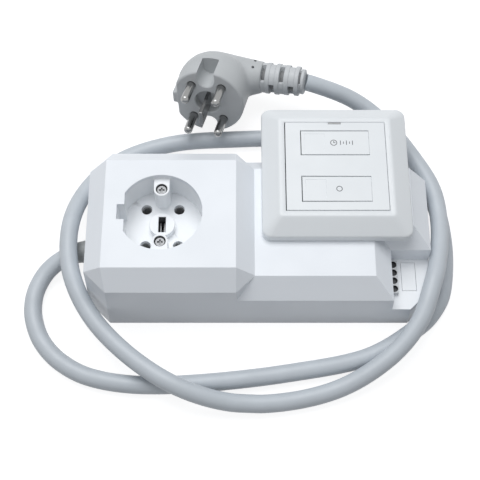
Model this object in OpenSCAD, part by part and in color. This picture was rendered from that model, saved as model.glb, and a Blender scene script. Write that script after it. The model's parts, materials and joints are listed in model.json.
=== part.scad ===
// Plug-in stove timer: a power unit with a five-pole socket, its mains lead and plug,
// and a square control panel with two flap keys that lies on the unit's lower deck.
// Millimetres, +Z up, the front towards -Y. The origin is the middle of the power unit's base.

/* [Case] */
// Length of the power unit along X
case_l = 187; // [180:1:200]
// Depth of the power unit along Y
case_d = 85; // [82:1:95]
// Height of the socket tower
tower_h = 49; // [47:0.5:56]
// Length of the socket tower, to the foot of its right bevel
tower_l = 91; // [88:1:93]
// How far the lower deck lies below the tower's top
deck_drop = 10; // [7:0.5:11]
// Width of the bevel along each top edge
bevel = 10; // [8:0.5:11]
// Plan length of the cut across each outer corner
corner_cut = 12; // [9:0.5:14]
// Lean of the outer walls in degrees
draft = 1.5; // [0.5:0.25:2]
// Wall thickness of the cover
wall = 2.5; // [2:0.1:2.8]
// Thickness of the base plate
base_t = 3; // [2.6:0.1:3.2]
// Gap between the base plate and the cover
base_gap = 0.25; // [0.15:0.05:0.4]

/* [Notch] */
// Length of the terminal notch along X
notch_l = 22; // [20:0.5:24]
// Depth of the terminal notch along Y
notch_d = 30; // [28:0.5:32]
// Height of the notch's floor
notch_floor = 18; // [16:0.5:19]
// Number of control terminals
terminal_ways = 4; // [3:1:4]
// Spacing of the control terminals
terminal_pitch = 4.8; // [4.5:0.1:5]
// How far the control terminals stand out of the notch's wall
terminal_out = 3.8; // [3:0.1:4.5]
// Height of the control terminals
terminal_h = 3; // [2.5:0.5:4]
// Width of the entry blank
blank_w = 8; // [7:0.5:9]
// Length of the entry blank
blank_l = 17; // [15:0.5:18]

/* [Socket] */
// Distance of the socket's centre from the left end
socket_in = 40.5; // [39:0.5:43]
// Radius of the socket's recess
recess_r = 22.5; // [21.5:0.1:23.5]
// Depth of the recess
recess_depth = 19; // [17:0.5:20]
// Distance of the recess's flat from its centre
recess_flat = 19.4; // [18.5:0.1:20.4]
// Width of the key slot
key_slot_w = 9; // [7:0.5:10]
// Depth of the key slot behind the flat
key_slot_d = 4; // [3:0.5:5]
// Pin spacing along X
pin_dx = 18; // [17:0.1:19]
// Pin spacing along Y
pin_dy = 22.4; // [21.5:0.1:23]
// Diameter of the pin holes
pin_hole_d = 6; // [5.4:0.1:6.4]
// Distance between the two socket screws
lug_pitch = 31.6; // [31:0.1:33]
// Width of the screw lugs
lug_w = 8.6; // [8.2:0.1:9.4]
// Drop of the lugs below the rim
lug_drop = 3.5; // [3:0.5:5]
// Diameter of the earth boss
boss_d = 14; // [12:0.5:14]
// Height of the earth boss
boss_h = 4; // [3:0.5:5]
// Width of the earth slot
slot_w = 4; // [3.6:0.1:4.4]
// Length of the earth slot
slot_l = 9.4; // [8.5:0.1:10]
// Wall thickness of the cup
cup_wall = 1.8; // [1.4:0.1:2]
// Floor thickness of the cup
cup_floor = 2.5; // [2:0.1:3]
// Height of the contact carrier
carrier_h = 10; // [8:0.5:10.5]

/* [Lead] */
// Diameter of the mains lead
cord_d = 10; // [9.5:0.1:10.1]
// Height of the lead's gland
gland_z = 11; // [10.8:0.1:12]
// Place of the gland along Y
gland_y = -5; // [-8:0.5:0]
// Length of the gland's outer collar
gland_out = 4; // [3:0.1:5]

/* [Plug] */
// Radius of the plug's nose
nose_r = 21.6; // [21:0.1:22]
// Length of the plug's straight nose
nose_l = 13; // [12:0.5:14]
// Depth of the plug behind its nose
plug_back = 19; // [18:0.5:21]
// Diameter of the round pins
pin_d = 5; // [4.5:0.1:5.2]
// Length of the pins in front of the plug's face
pin_out = 15.5; // [14:0.5:18]
// Width of the plug's earth blade
blade_w = 8.6; // [8:0.1:9]
// Thickness of the plug's earth blade
blade_t = 2.2; // [1.8:0.1:2.3]
// Length of the strain relief
relief_l = 26; // [22:1:28]

/* [Panel] */
// Side of the square frame
frame_w = 81; // [80:0.5:86]
// Corner radius of the frame
frame_r = 5; // [4:0.5:7]
// Height of the frame's upright edge
frame_edge = 5.6; // [4.5:0.1:6.5]
// Height of the frame's rim above the deck
frame_h = 11.2; // [10.8:0.1:13]
// Side of the centre plate
plate_w = 55; // [53:0.5:56]
// Flat rim round the centre plate
rim_w = 2.8; // [2:0.1:3.5]
// Gap round the centre plate
plate_gap = 0.35; // [0.2:0.05:0.5]
// Thickness of the centre plate and the keys
plate_t = 2; // [1.6:0.1:2.2]
// Wall thickness of the frame
frame_wall = 2.2; // [1.8:0.1:2.6]
// Thickness of the panel's base
panel_base_t = 2.2; // [1.8:0.1:2.4]
// Length of a key, from its free end to its hinge
key_l = 37; // [34:0.5:39]
// Width of a key
key_w = 14.6; // [13:0.1:16]
// Distance between the two keys' centres
key_pitch = 29; // [27:0.5:31]
// Slit round a key's three free sides
key_slit = 0.6; // [0.4:0.05:0.8]
// Wall-fixing distance of the panel
panel_fix = 60; // [58:0.5:62]

/* [Hidden] */
$fn = 64;
hinge_gap = 0.2;
fit_gap = 0.1;
eps = 0.01;

// How far a cut runs past the face that it opens
over = 1;

x_left = -case_l / 2;
x_right = case_l / 2;
y_front = -case_d / 2;
y_back = case_d / 2;
deck_h = tower_h - deck_drop;
tower_x1 = x_left + tower_l;
notch_x = x_right - notch_l;
notch_y = y_front + notch_d;

// How far the notch's cut runs past the outer walls
notch_reach = 20;

// Places of the control terminals and the entry blank in the notch
terminal_in = 6;
terminal_y = 8;
blank_x = 6.7;
blank_y = 10.5;
blank_lip = 0.8;
blank_lip_t = 1.2;
way_d = 3.9;
way_depth = 2;
way_in = 0.25;

// Posts inside the cover that take the case screws
post_d = 8;
post_in = 10.5;
notch_post_in = 11.5;
post_clear = 5;
case_posts = [
    [x_left + post_in, y_front + post_in, tower_h - post_clear],
    [x_left + post_in, y_back - post_in, tower_h - post_clear],
    [notch_x - notch_post_in, y_front + notch_post_in, deck_h - post_clear],
    [x_right - post_in, y_back - post_in, deck_h - post_clear]
];
case_screw_d = 2.9;
case_pilot_d = 3;
case_pilot_l = 14;
case_head_d = 6.4;
case_head_h = 1.8;
case_hole_d = 3.4;
case_sink_d = 7;
case_grip = 8;

// Wall-fixing holes of the base plate
wall_hole_d = 5;
wall_hole_dx = 124;
wall_hole_y = 25;

socket_y = 0.5;
socket_c = [x_left + socket_in, socket_y];
recess_z = tower_h - recess_depth;
cup_top = tower_h - wall;
cup_under = recess_z - cup_floor;
carrier_r = 20;
carrier_z = cup_under - carrier_h;
lug_z = tower_h - lug_drop;
pin_xy = [for (sx = [-1, 1], sy = [-1, 1]) [sx * pin_dx / 2, sy * pin_dy / 2]];
lug_xy = [for (s = [-1, 1]) [0, s * lug_pitch / 2]];
socket_head_d = 5.2;
socket_head_h = 2;
socket_head_sink = 1.2;
socket_shank_d = 3.3;
socket_hole_d = 3.5;
socket_sink_d = 6.3;
socket_screw_l = 22;
socket_seat_z = lug_z - socket_head_sink - socket_head_h;
sleeve_d = 8;
sleeve_bore_d = 5.2;
sleeve_floor = 1;
carrier_floor = 1.5;
sleeve_tail_d = 2;
sleeve_tail_l = 2.5;
spring_t = 0.7;
spring_w = 8;
spring_gap = 0.6;
spring_drop = 6;

board_z = base_t + 5;
board_t = 1.6;
board_left = 31.5;
board_right = 17.5;
board_x = [tower_x1 - board_left, notch_x - board_right];
board_y = 34;
board_inset = 4;
board_top = board_z + board_t;
board_hole_d = 3.2;
board_screw_d = 3;
board_holes = [
    for (x = [board_x[0] + board_inset, board_x[1] - board_inset], s = [-1, 1])
        [x, s * (board_y - board_inset)]
];
board_post_d = 6.5;
board_pilot_d = 3.1;
board_grip = 4;
board_head_d = 5.5;
board_head_h = 1.8;
relay_size = [12.5, 29, 16];
relay_count = 3;
relay_step = 15;
relay_in = 44.5;
relay_x = board_x[1] - relay_in;
relay_y = 17;
transformer_size = [34, 28, 20];
transformer_core = 20.4;
transformer_foot = 4;
transformer_in = 28.5;
transformer_x = board_x[1] - transformer_in;
transformer_y = -16;
core_count = 5;
core_mid = (core_count - 1) / 2;
core_d = 2;
core_pitch = 2.05;
core_end_pitch = 5;
core_gap = 0.3;
mains_block = [11, 27, 11];
mains_block_in = 2;
mains_block_x = board_x[0] + mains_block_in;
well_d = 3.6;
well_depth = 3;

// The lead's gland in the left wall
gland_r = 6.4;
gland_neck_r = 5.8;
gland_seat_x = x_left - (tower_h - bevel - gland_z + gland_r) * tan(draft);
gland_face_x = gland_seat_x - gland_out;
gland_inner = 2;
gland_lip_r = 6.6;
gland_slack = 0.6;
tail_end_x = x_left + 15.5;
clamp_x = x_left + 8.5;
clamp_l = 6;
clamp_w = 28;
clamp_over = 4;
clamp_screw_d = 3;
clamp_hole_d = 3.2;
clamp_head_d = 5.5;
clamp_head_h = 1.8;
clamp_dy = 10.5;
clamp_grip = 7;

// Route of the lead's free stretch, from the gland to the plug's strain relief
lie = 5.05;
cord_route = [
    [gland_face_x, gland_y, gland_z], [-107.7, -7.4, 9.7], [-116, -12.6, 7.6], [-121.8, -20.2, 5.9],
    [-125, -30.6, 5.25], [-124.3, -43, lie], [-118.5, -57, lie], [-107, -69, lie], [-90, -77.5, lie],
    [-64, -81.5, lie], [-28, -80.2, lie], [16, -74.8, lie], [58, -66, lie], [85.5, -49.8, lie],
    [97.5, -37.6, lie], [103.4, -23.2, lie], [105.8, 4, lie], [101.6, 32.5, lie], [87, 55.5, lie],
    [63, 69.5, lie], [28, 73.5, lie], [-12, 73, lie], [-50, 69.8, 5.15], [-80, 58.4, 5.5],
    [-98.2, 36.4, 10.5], [-105.3, 8, 20.2], [-103.3, -21, 20.8], [-91.2, -46.4, 17.6], [-70, -68.9, 17.1],
    [-43, -86.3, 16], [-14, -92.5, 8.2], [16, -90.8, 5.4], [45, -83.2, 7], [70, -69.3, 13],
    [86.5, -51.8, 19.5], [94.6, -31.5, 23.8], [99.8, -12, 21], [102.2, 10, 17.4], [99.7, 31.6, 17.2],
    [90.2, 52, 17.6], [76.3, 79.2, 11.5], [56, 94, 17], [28.65, 100.1, 25.7]
];
cord_sides = 12;
cord_lead_in = 10;
cord_substeps = 2;
gap_substeps = 5;
gap_apart = 12;

// The plug's place: the end of its strain relief is the end of the lead
plug_turn = [72, 0, 9];
plug_roll = -22;
plug_reach = 53;
neck_depth = 28.5;
neck_r = 12.5;
neck_tip_r = 9.3;
neck_x = plug_reach - relief_l;
head_l = 1;
channel_r = 5;
channel_depth = 13.6;
plug_key_w = 7.6;
plug_key_d = 3;
plug_key_root = 2;
plug_key_short = 1;
dome_flat = 0.3;
face_recess_d = 15;
face_recess_h = 5;
pin_root = 10;
pin_tip_l = pin_d / 4;
pin_tip_d = pin_d * 0.55;
relief_ribs = 7;
relief_rib_r = 8;
relief_tip_r = 7.5;
relief_core_r = 6;
relief_land = 0.66;
bridge_w = 7;
bridge_drop = 0.5;

// The control panel's place on the deck
panel_in = 44.5;
panel_y = 28.3;
panel_c = [tower_x1 + panel_in, panel_y];
opening_w = plate_w + 2 * plate_gap;
slope_w = opening_w + 2 * rim_w;
panel_board_z = panel_base_t + 1;
panel_board_t = 1.6;
panel_board_top = panel_board_z + panel_board_t;
panel_board_w = plate_w + 6;
panel_base_w = frame_w - 2 * frame_wall - 2 * fit_gap;
skirt_t = 1.5;
edge_soft = 0.6;
rim_soft = 0.4;
rim_soft_w = 0.8;
rim_r = 1.6;
key_under = frame_h - plate_t;
switch_w = 6;
switch_h = 2.2;
switch_floor = 0.2;
plunger_d = 3.4;
plunger_fit = 0.25;
plunger_foot = 1.2;
plunger_gap = 0.02;
plunger_top = key_under - plunger_gap;
switch_in = 7;
pad_l = 11;
pad_in = 1.6;
pad_depth = 0.15;
lens_l = 7;
lens_w = 0.8;
panel_block = [9, 13, 3.6];
panel_block_x = 14;
panel_way_d = 2.2;
panel_way_x = 4;
panel_way_z = 1;
panel_screw_d = 2.6;
panel_hole_d = 2.8;
panel_head_d = 5;
panel_head_h = 1.6;
panel_post_d = 6;
panel_post_in = 5;
panel_pilot_z = 1;
panel_grip = 1.4;
panel_slot_d = 4.5;
panel_slot_l = 8;

// Cross recess of a screw's head, in parts of the head's diameter and height
cross_l = 0.56;
cross_w = 0.14;
cross_z = 0.45;

case_white = [0.93, 0.94, 0.96];
cord_grey = [0.69, 0.71, 0.74];

// Outward lean of the walls at height z
function lean(z) = (tower_h - bevel - z) * tan(draft);

// Eight-cornered outline at height z, grown by g
// The cuts are in the order front-left, front-right, back-right, back-left
function outline(x0, x1, cuts, z, g) =
    let (a = x0 - g, b = x1 + g, c = y_front - g, d = y_back + g)
    [
        [a + cuts[0], c, z], [b - cuts[1], c, z], [b, c + cuts[1], z], [b, d - cuts[2], z],
        [b - cuts[2], d, z], [a + cuts[3], d, z], [a, d - cuts[3], z], [a, c + cuts[0], z]
    ];

// Corner cuts of a form that lies in by an inset
function cuts_in(cuts, inset) = [for (c = cuts) c - (2 - sqrt(2)) * inset];

// Leaning block with a flat top and a bevel along its four top edges
module bevelled_block(x0, x1, top, cuts, inset, z0) {
    c = cuts_in(cuts, inset);
    foot = top - bevel;
    g = lean(foot) - inset;
    s = bevel - g;
    cap = [
        [x0 + s, y_front + s, top], [x1 - s, y_front + s, top],
        [x1 - s, y_back - s, top], [x0 + s, y_back - s, top]
    ];
    walls = [for (i = [0:7]) [i, i + 8, (i + 1) % 8 + 8, (i + 1) % 8]];
    bevels = [for (k = [0:3]) [8 + 2 * k, 16 + k, 16 + (k + 1) % 4, 9 + 2 * k]];
    corners = [for (k = [0:3]) [9 + 2 * k, 16 + (k + 1) % 4, 8 + (2 * k + 2) % 8]];
    polyhedron(
        concat(outline(x0, x1, c, z0, lean(z0) - inset), outline(x0, x1, c, foot, g), cap),
        concat([[0, 1, 2, 3, 4, 5, 6, 7]], walls, bevels, corners, [[19, 18, 17, 16]])
    );
}

// Space of the terminal notch: leaning walls up from its floor, then the deck's bevel
module notch_space(inset) {
    foot = deck_h - inset - bevel;
    floor_z = notch_floor - inset;
    rise = bevel + inset + over;
    levels = [
        [floor_z, lean(floor_z) - inset],
        [foot, lean(foot) - inset],
        [foot + rise, lean(foot) - inset - rise]
    ];
    x1 = x_right + notch_reach;
    y0 = y_front - notch_reach;
    sides = [
        for (i = [0, 1], k = [0:3])
            [4 * i + k, 4 * i + 4 + k, 4 * i + 4 + (k + 1) % 4, 4 * i + (k + 1) % 4]
    ];
    polyhedron(
        [
            for (l = levels)
                let (x = notch_x + l[1], y = notch_y - l[1])
                each [[x, y0, l[0]], [x1, y0, l[0]], [x1, y, l[0]], [x, y, l[0]]]
        ],
        concat([[0, 1, 2, 3]], sides, [[11, 10, 9, 8]])
    );
}

outer_cuts = [corner_cut, corner_cut, corner_cut, corner_cut];
tower_cuts = [corner_cut, bevel, bevel, corner_cut];

// The cover's outer form, or its cavity when inset by the wall: the tower stands on the long lower block
module cover_form(inset, z0) {
    bevelled_block(x_left, tower_x1, tower_h - inset, tower_cuts, inset, deck_h - inset - bevel);
    difference() {
        bevelled_block(x_left, x_right, deck_h - inset, outer_cuts, inset, z0);
        notch_space(inset);
    }
}

// Flat plate that fills the cover's foot with a gap all round
module plate_form(inset, h) {
    c = cuts_in(outer_cuts, inset);
    polyhedron(
        concat(
            outline(x_left, x_right, c, 0, lean(0) - inset),
            outline(x_left, x_right, c, h, lean(h) - inset)
        ),
        concat(
            [[0, 1, 2, 3, 4, 5, 6, 7]],
            [for (i = [0:7]) [i, i + 8, (i + 1) % 8 + 8, (i + 1) % 8]],
            [[15, 14, 13, 12, 11, 10, 9, 8]]
        )
    );
}

// Plan of the socket's recess, grown by g: a circle with a flat and a key slot on the left
module recess_plan(g) {
    intersection() {
        circle(r = recess_r + g);
        translate([-recess_flat - g, -2 * recess_r])
            square([recess_flat + g + 2 * recess_r, 4 * recess_r]);
    }
    translate([-recess_flat - key_slot_d - g, -key_slot_w / 2 - g])
        square([recess_flat + key_slot_d, key_slot_w + 2 * g]);
}

module at_socket(z) {
    translate([socket_c[0], socket_c[1], z])
        children();
}

// Screw with a flat-bottomed domed head and a cross recess, pointing down from the head's seat
module screw(head_d, head_h, shank_d, shank_l) {
    difference() {
        cylinder(h = head_h, d = head_d);
        for (a = [0, 90])
            rotate([0, 0, a])
                translate([-head_d * cross_l / 2, -head_d * cross_w / 2, head_h * cross_z])
                    cube([head_d * cross_l, head_d * cross_w, head_h]);
    }
    translate([0, 0, -shank_l])
        cylinder(h = shank_l + eps, d = shank_d);
}

module control_window(gap) {
    w = terminal_ways * terminal_pitch;
    translate([notch_x - terminal_in, y_front + terminal_y - gap, notch_floor])
        cube([terminal_in + lean(notch_floor) + terminal_out, w + 2 * gap, terminal_h + gap]);
}

module at_blank(z) {
    translate([notch_x + blank_x, y_front + blank_y, z])
        children();
}

module top_cover() color(case_white)
    difference() {
        union() {
            difference() {
                cover_form(0, 0);
                cover_form(wall, -over);
            }
            for (p = case_posts)
                translate([p[0], p[1], base_t])
                    cylinder(h = p[2] - base_t, d = post_d);
        }
        for (p = case_posts)
            translate([p[0], p[1], base_t - over])
                cylinder(h = case_pilot_l + over, d = case_pilot_d);
        at_socket(cup_top - over)
            linear_extrude(wall + 2 * over)
                recess_plan(0);
        translate([x_left - wall, gland_y, gland_z])
            rotate([0, 90, 0])
                cylinder(h = 3 * wall, r = gland_neck_r + fit_gap);
        control_window(fit_gap);
        at_blank(notch_floor - 2 * wall)
            cube([blank_w, blank_l, 3 * wall]);
    }

module base_plate() color([0.88, 0.89, 0.91])
    difference() {
        union() {
            plate_form(wall + base_gap, base_t);
            for (p = board_holes)
                translate([p[0], p[1], 0])
                    cylinder(h = board_z, d = board_post_d);
            translate([clamp_x, gland_y - clamp_w / 2, 0])
                cube([clamp_l, clamp_w, gland_z - fit_gap]);
        }
        for (p = case_posts)
            translate([p[0], p[1], -over]) {
                cylinder(h = base_t + 2 * over, d = case_hole_d);
                cylinder(h = case_head_h + over, d = case_sink_d);
            }
        for (s = [-1, 1])
            translate([s * wall_hole_dx / 2, wall_hole_y, -over])
                cylinder(h = base_t + 2 * over, d = wall_hole_d);
        for (p = board_holes)
            translate([p[0], p[1], base_t])
                cylinder(h = board_z, d = board_pilot_d);
        translate([clamp_x - over, gland_y, gland_z])
            rotate([0, 90, 0])
                cylinder(h = clamp_l + 2 * over, r = cord_d / 2 + fit_gap / 2);
        for (s = [-1, 1])
            translate([clamp_x + clamp_l / 2, gland_y + s * clamp_dy, base_t])
                cylinder(h = gland_z, d = clamp_hole_d);
    }

module case_screws() color("silver")
    for (p = case_posts)
        translate([p[0], p[1], case_head_h])
            rotate([180, 0, 0])
                screw(case_head_d, case_head_h, case_screw_d, base_t + case_grip);

module socket_cup() color(case_white)
    at_socket(0)
        difference() {
            union() {
                difference() {
                    translate([0, 0, cup_under])
                        linear_extrude(cup_top - cup_under)
                            recess_plan(cup_wall);
                    translate([0, 0, recess_z])
                        linear_extrude(recess_depth)
                            recess_plan(0);
                }
                translate([0, 0, recess_z - eps])
                    linear_extrude(lug_z - recess_z)
                        intersection() {
                            recess_plan(cup_wall / 2);
                            for (s = [-1, 1])
                                translate([0, s * lug_pitch / 2]) {
                                    circle(d = lug_w);
                                    translate([-lug_w / 2, s > 0 ? 0 : -recess_r])
                                        square([lug_w, recess_r]);
                                }
                        }
                translate([0, 0, recess_z - eps])
                    cylinder(h = boss_h, d = boss_d);
            }
            for (p = pin_xy)
                translate([p[0], p[1], cup_under - over])
                    cylinder(h = cup_floor + 2 * over, d = pin_hole_d);
            for (p = lug_xy)
                translate([p[0], p[1], cup_under - over]) {
                    cylinder(h = recess_depth, d = socket_hole_d);
                    translate([0, 0, socket_seat_z - cup_under + over])
                        cylinder(h = lug_z - socket_seat_z + over, d = socket_sink_d);
                }
            translate([-slot_w / 2, -slot_l / 2, cup_under - over])
                cube([slot_w, slot_l, cup_floor + boss_h + 2 * over]);
        }

module socket_screws() color("silver")
    at_socket(socket_seat_z)
        for (p = lug_xy)
            translate([p[0], p[1], 0])
                screw(socket_head_d, socket_head_h, socket_shank_d, socket_screw_l);

module contact_carrier() color([0.25, 0.25, 0.27])
    at_socket(carrier_z)
        difference() {
            cylinder(h = carrier_h, r = carrier_r);
            for (p = pin_xy)
                translate([p[0], p[1], carrier_floor])
                    cylinder(h = carrier_h, d = sleeve_d + fit_gap);
            for (p = pin_xy)
                translate([p[0], p[1], -over])
                    cylinder(h = carrier_floor + 2 * over, d = sleeve_tail_d + 2 * fit_gap);
            for (p = lug_xy)
                translate([p[0], p[1], -over])
                    cylinder(h = carrier_h + 2 * over, d = socket_hole_d);
            translate([-slot_w / 2, -slot_l / 2, carrier_floor])
                cube([slot_w, slot_l, carrier_h]);
        }

module phase_contacts() color("silver")
    at_socket(carrier_z)
        for (p = pin_xy)
            translate([p[0], p[1], 0]) {
                translate([0, 0, carrier_floor])
                    difference() {
                        cylinder(h = carrier_h - carrier_floor, d = sleeve_d);
                        translate([0, 0, sleeve_floor])
                            cylinder(h = carrier_h, d = sleeve_bore_d);
                    }
                translate([0, 0, -sleeve_tail_l])
                    cylinder(h = sleeve_tail_l + carrier_floor + eps, d = sleeve_tail_d);
            }

module earth_contact() color("silver")
    at_socket(carrier_z + carrier_floor) {
        blade_h = carrier_h - carrier_floor + cup_floor + boss_h - spring_drop;
        x = slot_w / 2 - spring_gap - spring_t;
        for (s = [0, 1])
            mirror([s, 0, 0])
                translate([x, -spring_w / 2, 0])
                    cube([spring_t, spring_w, blade_h]);
        translate([-x - eps, -spring_w / 2, 0])
            cube([2 * x + 2 * eps, spring_w, spring_t]);
    }

module main_board() color("darkgreen")
    difference() {
        translate([board_x[0], -board_y, board_z])
            cube([board_x[1] - board_x[0], 2 * board_y, board_t]);
        for (p = board_holes)
            translate([p[0], p[1], board_z - over])
                cylinder(h = board_t + 2 * over, d = board_hole_d);
    }

module board_screws() color("silver")
    for (p = board_holes)
        translate([p[0], p[1], board_top])
            screw(board_head_d, board_head_h, board_screw_d, board_t + board_grip);

module power_relays() color([0.15, 0.25, 0.5])
    for (i = [0:relay_count - 1])
        translate([relay_x + i * relay_step, relay_y, board_top + relay_size[2] / 2])
            cube(relay_size, center = true);

module transformer() color([0.75, 0.65, 0.2])
    translate([transformer_x, transformer_y, board_top]) {
        translate([-transformer_size[0] / 2, -transformer_size[1] / 2, 0])
            cube([transformer_size[0], transformer_size[1], transformer_foot]);
        translate([-transformer_core / 2, -transformer_size[1] / 2, transformer_foot - eps])
            cube([transformer_core, transformer_size[1], transformer_size[2] - transformer_foot]);
    }

module mains_terminals() color([0.2, 0.5, 0.3])
    translate([mains_block_x, gland_y - mains_block[1] / 2, board_top])
        difference() {
            cube(mains_block);
            for (i = [0:core_count - 1])
                translate([
                    mains_block[0] / 2,
                    mains_block[1] / 2 + (i - core_mid) * core_end_pitch,
                    mains_block[2] - well_depth
                ])
                    cylinder(h = well_depth + over, d = well_d);
        }

module core_leads() color("sienna")
    for (i = [0:core_count - 1]) {
        a = [tail_end_x, gland_y + (i - core_mid) * core_pitch];
        b = [mains_block_x - core_gap, gland_y + (i - core_mid) * core_end_pitch];
        translate([a[0], a[1], gland_z])
            rotate([0, 0, atan2(b[1] - a[1], b[0] - a[0])])
                rotate([0, 90, 0])
                    translate([0, 0, core_gap])
                        cylinder(h = norm(b - a) - core_gap, d = core_d);
    }

module cord_gland() color([0.2, 0.21, 0.23])
    translate([gland_face_x, gland_y, gland_z])
        rotate([0, 90, 0])
            rotate_extrude() {
                r = cord_d / 2 + fit_gap / 2;
                inside = x_left + wall + gland_slack - gland_face_x;
                translate([r, 0])
                    square([gland_r - r, gland_out]);
                translate([r, gland_out - eps])
                    square([gland_neck_r - r, inside + gland_inner - gland_out]);
                translate([r, inside])
                    square([gland_lip_r - r, gland_inner]);
            }

module cord_tail() color(cord_grey)
    translate([gland_face_x, gland_y, gland_z])
        rotate([0, 90, 0])
            cylinder(h = tail_end_x - gland_face_x, d = cord_d);

module cord_clamp() color([0.3, 0.3, 0.32])
    difference() {
        translate([clamp_x, gland_y - clamp_w / 2, gland_z])
            cube([clamp_l, clamp_w, cord_d / 2 + clamp_over]);
        translate([clamp_x - over, gland_y, gland_z])
            rotate([0, 90, 0])
                cylinder(h = clamp_l + 2 * over, r = cord_d / 2 + fit_gap / 2);
        for (s = [-1, 1])
            translate([clamp_x + clamp_l / 2, gland_y + s * clamp_dy, gland_z - over])
                cylinder(h = cord_d + clamp_over, d = clamp_hole_d);
    }

module clamp_screws() color("silver")
    for (s = [-1, 1])
        translate([clamp_x + clamp_l / 2, gland_y + s * clamp_dy, gland_z + cord_d / 2 + clamp_over])
            screw(clamp_head_d, clamp_head_h, clamp_screw_d, cord_d / 2 + clamp_over + clamp_grip);

module control_terminals() color([0.3, 0.32, 0.35])
    difference() {
        control_window(0);
        for (i = [0:terminal_ways - 1])
            translate([
                notch_x + way_in + terminal_out / 2,
                y_front + terminal_y + (i + 0.5) * terminal_pitch,
                notch_floor + terminal_h - way_depth
            ])
                cylinder(h = way_depth + over, d = way_d);
    }

module entry_blank() color(case_white) {
    at_blank(notch_floor - wall)
        translate([fit_gap, fit_gap, -eps])
            cube([blank_w - 2 * fit_gap, blank_l - 2 * fit_gap, wall + eps]);
    at_blank(notch_floor - wall - blank_lip_t)
        translate([-blank_lip, -blank_lip, 0])
            cube([blank_w + 2 * blank_lip, blank_l + 2 * blank_lip, blank_lip_t]);
}

// Direction from the plug's head along its neck to the lead
plug_axis =
    let (
        r = [cos(plug_roll), 0, -sin(plug_roll)],
        t = [r[0], -r[2] * sin(plug_turn[0]), r[2] * cos(plug_turn[0])],
        c = cos(plug_turn[2]),
        s = sin(plug_turn[2])
    )
    [c * t[0] - s * t[1], s * t[0] + c * t[1], t[2]];

// Point i of the route, led on straight past both of its ends
function route(i) =
    i < 0 ? cord_route[0] + [cord_lead_in, 0, 0] :
    i >= len(cord_route) ? cord_route[len(cord_route) - 1] - cord_lead_in * plug_axis :
    cord_route[i];

// Point on the smooth curve through the route, at step t of the stretch that starts at point i
function stretch(i, t) =
    let (a = route(i - 1), b = route(i), c = route(i + 1), d = route(i + 2))
    0.5 * (2 * b + (c - a) * t + (2 * a - 5 * b + 4 * c - d) * t * t + (3 * b - a - 3 * c + d) * t * t * t);
cord_line = [
    for (i = [0:len(cord_route) - 2], k = [0:cord_substeps - 1]) stretch(i, k / cord_substeps),
    cord_route[len(cord_route) - 1]
];

// Least gap of the lead to itself, measured on points of its middle line that are well apart along it
gap_line = [for (i = [0:len(cord_route) - 2], k = [0:gap_substeps - 1]) stretch(i, k / gap_substeps)];
function cord_gap() = min([
    for (i = [0:len(gap_line) - 1], j = [i + gap_apart:1:len(gap_line) - 1])
        norm(gap_line[i] - gap_line[j])
]) - cord_d;

function unit(v) = v / norm(v);

// Directions square to a heading, level and upright
function level(h) = unit(cross(h, [0, 0, 1]));
function upright(h) = cross(level(h), h);

// Heading at ring i: square to the gland and to the strain relief at the two ends
last_ring = len(cord_line) - 1;
function heading(i) =
    i == 0 ? [-1, 0, 0] :
    i == last_ring ? -plug_axis :
    unit(cord_line[i + 1] - cord_line[i - 1]);
function ring(p, h) = [
    for (k = [0:cord_sides - 1])
        p + cord_d / 2 * (cos(360 * k / cord_sides) * level(h) + sin(360 * k / cord_sides) * upright(h))
];

module mains_cord() color(cord_grey) {
    echo(least_gap_of_the_lead = cord_gap());
    polyhedron(
        [for (i = [0:last_ring]) each ring(cord_line[i], heading(i))],
        concat(
            [[for (k = [0:cord_sides - 1]) k]],
            [
                for (i = [0:last_ring - 1], k = [0:cord_sides - 1])
                    let (j = (k + 1) % cord_sides, a = i * cord_sides, b = a + cord_sides)
                    each [[a + k, b + k, b + j], [a + k, b + j, a + j]]
            ],
            [[for (k = [cord_sides - 1:-1:0]) last_ring * cord_sides + k]]
        )
    );
}

// Plug's own frame: pins along +Z from the face at z = 0, the neck along +X
module at_plug() {
    translate(cord_route[len(cord_route) - 1])
        rotate(plug_turn)
            rotate([0, plug_roll, 0])
                translate([-plug_reach, 0, neck_depth])
                    children();
}

module plug_plan() {
    intersection() {
        circle(r = nose_r);
        translate([-recess_flat + recess_r - nose_r, -2 * nose_r])
            square([recess_flat + 2 * nose_r, 4 * nose_r]);
    }
}

// Half profile of the plug's domed back
dome_steps = 8;
dome = concat(
    [[0, -nose_l], [nose_r, -nose_l], [nose_r, -nose_l - head_l]],
    [
        for (i = [1:dome_steps])
            let (a = 90 * i / dome_steps)
            [
                nose_r * (dome_flat + (1 - dome_flat) * cos(a)),
                -nose_l - head_l - (plug_back - head_l) * sin(a)
            ]
    ],
    [[0, -nose_l - plug_back]]
);

module along_neck() {
    translate([0, 0, -neck_depth])
        rotate([0, 90, 0])
            children();
}

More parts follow.
